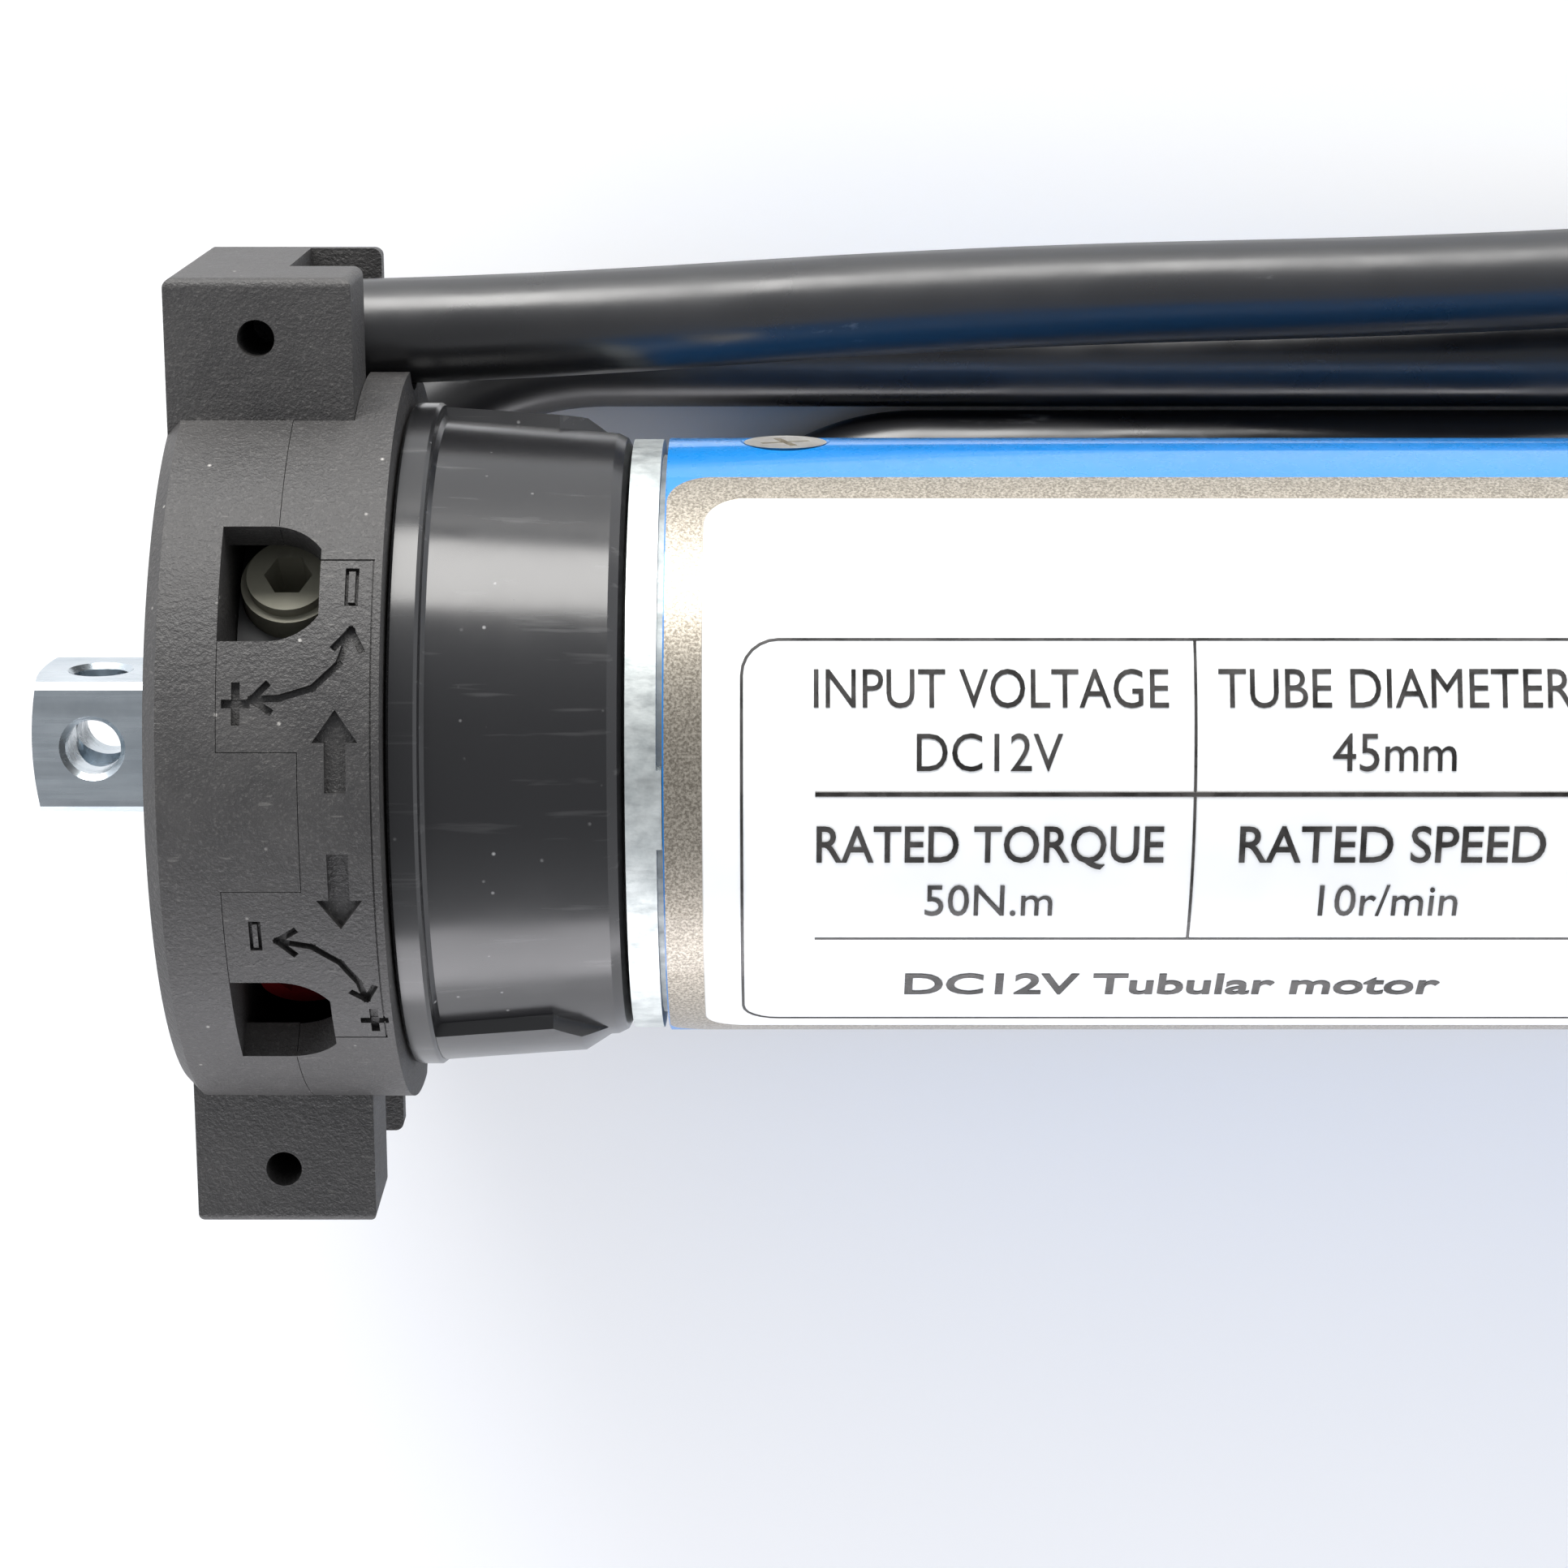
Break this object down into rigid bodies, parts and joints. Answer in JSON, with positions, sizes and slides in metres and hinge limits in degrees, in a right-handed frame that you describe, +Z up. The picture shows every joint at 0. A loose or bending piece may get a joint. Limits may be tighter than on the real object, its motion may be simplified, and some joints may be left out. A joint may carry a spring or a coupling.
{
  "type": "roller shutter motor",
  "caption": "Tubular roller shutter motor: square fixing pin, lugged head with limit knobs, idler ring, slim tube, D-flat output shaft and a hanked cable.",
  "frame": {"origin": "centre of the head's front face, the face that meets the bracket, on the motor axis", "axes": "+X along the motor axis towards the output shaft, +Y towards the lug where the cable leaves, +Z up with the motor lying flat, label side up"},
  "size_m": [0.4325, 0.0764, 0.0636],
  "materials": {
    "head_plastic": "fine-grained matte",
    "crown_plastic": "gloss",
    "zinc_plated_steel": "zinc-plated, satin",
    "inner_plastic": "satin",
    "white_plastic": "satin",
    "red_plastic": "satin",
    "black_plastic": "satin",
    "cast_zinc": "as cast, light grey",
    "blue_paint": "gloss",
    "label_film": "metallised film",
    "copper": "bare",
    "cable_sheath": "satin"
  },
  "bodies": {
    "housing": {"head_front_cover": "head_plastic", "head_rear_body": "head_plastic", "square_pin": "zinc_plated_steel", "pin_plate": "zinc_plated_steel", "limit_housing": "inner_plastic", "micro_switches": "black_plastic", "end_ring": "cast_zinc", "motor_tube": "blue_paint", "tube_label": "label_film", "tube_screws": "zinc_plated_steel", "gearbox_screws": "zinc_plated_steel", "brake_coil_housing": "zinc_plated_steel", "brake_coil": "copper", "brake_spring": "zinc_plated_steel", "motor_can": "zinc_plated_steel", "motor_front_cap": "white_plastic", "motor_rear_cap": "white_plastic", "front_bearing": "zinc_plated_steel", "rear_bearing": "zinc_plated_steel", "magnets": "black_plastic", "brush_holder": "inner_plastic", "carbon_brushes": "black_plastic", "ring_gear": "cast_zinc", "gearbox_end_cap": "cast_zinc", "output_bearing": "zinc_plated_steel", "cable_lead": "cable_sheath", "cable_hank": "cable_sheath", "cable_tie": "white_plastic", "core_red": "red_plastic", "core_black": "black_plastic", "cable_grommet": "black_plastic"},
    "crown": {"crown_wheel": "crown_plastic"},
    "limit_pinion_body": {"limit_pinion": "inner_plastic"},
    "knob_white_body": {"knob_white": "white_plastic"},
    "knob_red_body": {"knob_red": "red_plastic"},
    "spindle_white_body": {"spindle_white": "inner_plastic"},
    "spindle_red_body": {"spindle_red": "inner_plastic"},
    "nut_white_body": {"nut_white": "inner_plastic"},
    "nut_red_body": {"nut_red": "inner_plastic"},
    "brake_plate_body": {"brake_plate": "zinc_plated_steel"},
    "armature": {"armature_core": "zinc_plated_steel", "armature_windings": "copper", "commutator": "copper", "motor_shaft": "zinc_plated_steel", "sun_1": "zinc_plated_steel", "brake_disc": "zinc_plated_steel"},
    "carrier_1_body": {"carrier_1": "zinc_plated_steel"},
    "carrier_2_body": {"carrier_2": "zinc_plated_steel"},
    "output": {"output_shaft": "zinc_plated_steel", "circlip": "zinc_plated_steel"},
    "planet_1a_body": {"planet_1a": "zinc_plated_steel"},
    "planet_1b_body": {"planet_1b": "zinc_plated_steel"},
    "planet_1c_body": {"planet_1c": "zinc_plated_steel"},
    "planet_2a_body": {"planet_2a": "zinc_plated_steel"},
    "planet_2b_body": {"planet_2b": "zinc_plated_steel"},
    "planet_2c_body": {"planet_2c": "zinc_plated_steel"},
    "planet_3a_body": {"planet_3a": "zinc_plated_steel"},
    "planet_3b_body": {"planet_3b": "zinc_plated_steel"},
    "planet_3c_body": {"planet_3c": "zinc_plated_steel"}
  },
  "joints": [
    {"name": "crown_spin", "type": "hinge", "parent": "housing", "child": "crown", "pos_m": [0.025, 0, 0], "axis": [1, 0, 0], "continuous": true},
    {"name": "pinion_spin", "type": "hinge", "parent": "housing", "child": "limit_pinion_body", "pos_m": [0.023, 0, -0.0152], "axis": [1, 0, 0], "continuous": true},
    {"name": "knob_white_turn", "type": "hinge", "parent": "housing", "child": "knob_white_body", "pos_m": [0.00905, 0.01273, 0.01273], "axis": [0, 0.7071, 0.7071], "range_deg": [-722, 722]},
    {"name": "spindle_white_turn", "type": "hinge", "parent": "housing", "child": "spindle_white_body", "pos_m": [0.04, 0.00743, 0.00743], "axis": [1, 0, 0], "range_deg": [-722, 722]},
    {"name": "nut_white_slide", "type": "slide", "parent": "housing", "child": "nut_white_body", "axis": [1, 0, 0], "range_m": [-0.006, 0.006]},
    {"name": "knob_red_turn", "type": "hinge", "parent": "housing", "child": "knob_red_body", "pos_m": [0.00905, -0.01273, 0.01273], "axis": [0, -0.7071, 0.7071], "range_deg": [-722, 722]},
    {"name": "spindle_red_turn", "type": "hinge", "parent": "housing", "child": "spindle_red_body", "pos_m": [0.04, -0.00743, 0.00743], "axis": [1, 0, 0], "range_deg": [-722, 722]},
    {"name": "nut_red_slide", "type": "slide", "parent": "housing", "child": "nut_red_body", "axis": [1, 0, 0], "range_m": [-0.006, 0.006]},
    {"name": "brake_release", "type": "slide", "parent": "housing", "child": "brake_plate_body", "axis": [-1, 0, 0], "range_m": [0, 0.0004], "stiffness_N_per_m": 8000, "springref_m": -0.0005},
    {"name": "armature_spin", "type": "hinge", "parent": "housing", "child": "armature", "pos_m": [0.2, 0, 0], "axis": [1, 0, 0], "continuous": true},
    {"name": "carrier_1_spin", "type": "hinge", "parent": "housing", "child": "carrier_1_body", "pos_m": [0.274, 0, 0], "axis": [1, 0, 0], "continuous": true},
    {"name": "carrier_2_spin", "type": "hinge", "parent": "housing", "child": "carrier_2_body", "pos_m": [0.302, 0, 0], "axis": [1, 0, 0], "continuous": true},
    {"name": "output_spin", "type": "hinge", "parent": "housing", "child": "output", "pos_m": [0.36, 0, 0], "axis": [1, 0, 0], "continuous": true},
    {"name": "planet_1a_spin", "type": "hinge", "parent": "carrier_1_body", "child": "planet_1a_body", "pos_m": [0.264, 0, 0.0108], "axis": [1, 0, 0], "continuous": true},
    {"name": "planet_1b_spin", "type": "hinge", "parent": "carrier_1_body", "child": "planet_1b_body", "pos_m": [0.264, 0.00935, -0.0054], "axis": [1, 0, 0], "continuous": true},
    {"name": "planet_1c_spin", "type": "hinge", "parent": "carrier_1_body", "child": "planet_1c_body", "pos_m": [0.264, -0.00935, -0.0054], "axis": [1, 0, 0], "continuous": true},
    {"name": "planet_2a_spin", "type": "hinge", "parent": "carrier_2_body", "child": "planet_2a_body", "pos_m": [0.292, 0, 0.0108], "axis": [1, 0, 0], "continuous": true},
    {"name": "planet_2b_spin", "type": "hinge", "parent": "carrier_2_body", "child": "planet_2b_body", "pos_m": [0.292, 0.00935, -0.0054], "axis": [1, 0, 0], "continuous": true},
    {"name": "planet_2c_spin", "type": "hinge", "parent": "carrier_2_body", "child": "planet_2c_body", "pos_m": [0.292, -0.00935, -0.0054], "axis": [1, 0, 0], "continuous": true},
    {"name": "planet_3a_spin", "type": "hinge", "parent": "output", "child": "planet_3a_body", "pos_m": [0.32, 0, 0.0108], "axis": [1, 0, 0], "continuous": true},
    {"name": "planet_3b_spin", "type": "hinge", "parent": "output", "child": "planet_3b_body", "pos_m": [0.32, 0.00935, -0.0054], "axis": [1, 0, 0], "continuous": true},
    {"name": "planet_3c_spin", "type": "hinge", "parent": "output", "child": "planet_3c_body", "pos_m": [0.32, -0.00935, -0.0054], "axis": [1, 0, 0], "continuous": true}
  ],
  "couplings": [
    {"joint": "pinion_spin", "follows": "crown_spin", "ratio": 4.1667},
    {"joint": "spindle_white_turn", "follows": "nut_white_slide", "rad_per_m": 2094.4},
    {"joint": "knob_white_turn", "follows": "nut_white_slide", "rad_per_m": 2094.4},
    {"joint": "spindle_red_turn", "follows": "nut_red_slide", "rad_per_m": 2094.4},
    {"joint": "knob_red_turn", "follows": "nut_red_slide", "rad_per_m": 2094.4},
    {"joint": "carrier_1_spin", "follows": "armature_spin", "ratio": 0.16667},
    {"joint": "carrier_2_spin", "follows": "armature_spin", "ratio": 0.027778},
    {"joint": "output_spin", "follows": "armature_spin", "ratio": 0.0046296},
    {"joint": "planet_1a_spin", "follows": "armature_spin", "ratio": -0.41667},
    {"joint": "planet_1b_spin", "follows": "armature_spin", "ratio": -0.41667},
    {"joint": "planet_1c_spin", "follows": "armature_spin", "ratio": -0.41667},
    {"joint": "planet_2a_spin", "follows": "armature_spin", "ratio": -0.069444},
    {"joint": "planet_2b_spin", "follows": "armature_spin", "ratio": -0.069444},
    {"joint": "planet_2c_spin", "follows": "armature_spin", "ratio": -0.069444},
    {"joint": "planet_3a_spin", "follows": "armature_spin", "ratio": -0.011574},
    {"joint": "planet_3b_spin", "follows": "armature_spin", "ratio": -0.011574},
    {"joint": "planet_3c_spin", "follows": "armature_spin", "ratio": -0.011574}
  ]
}
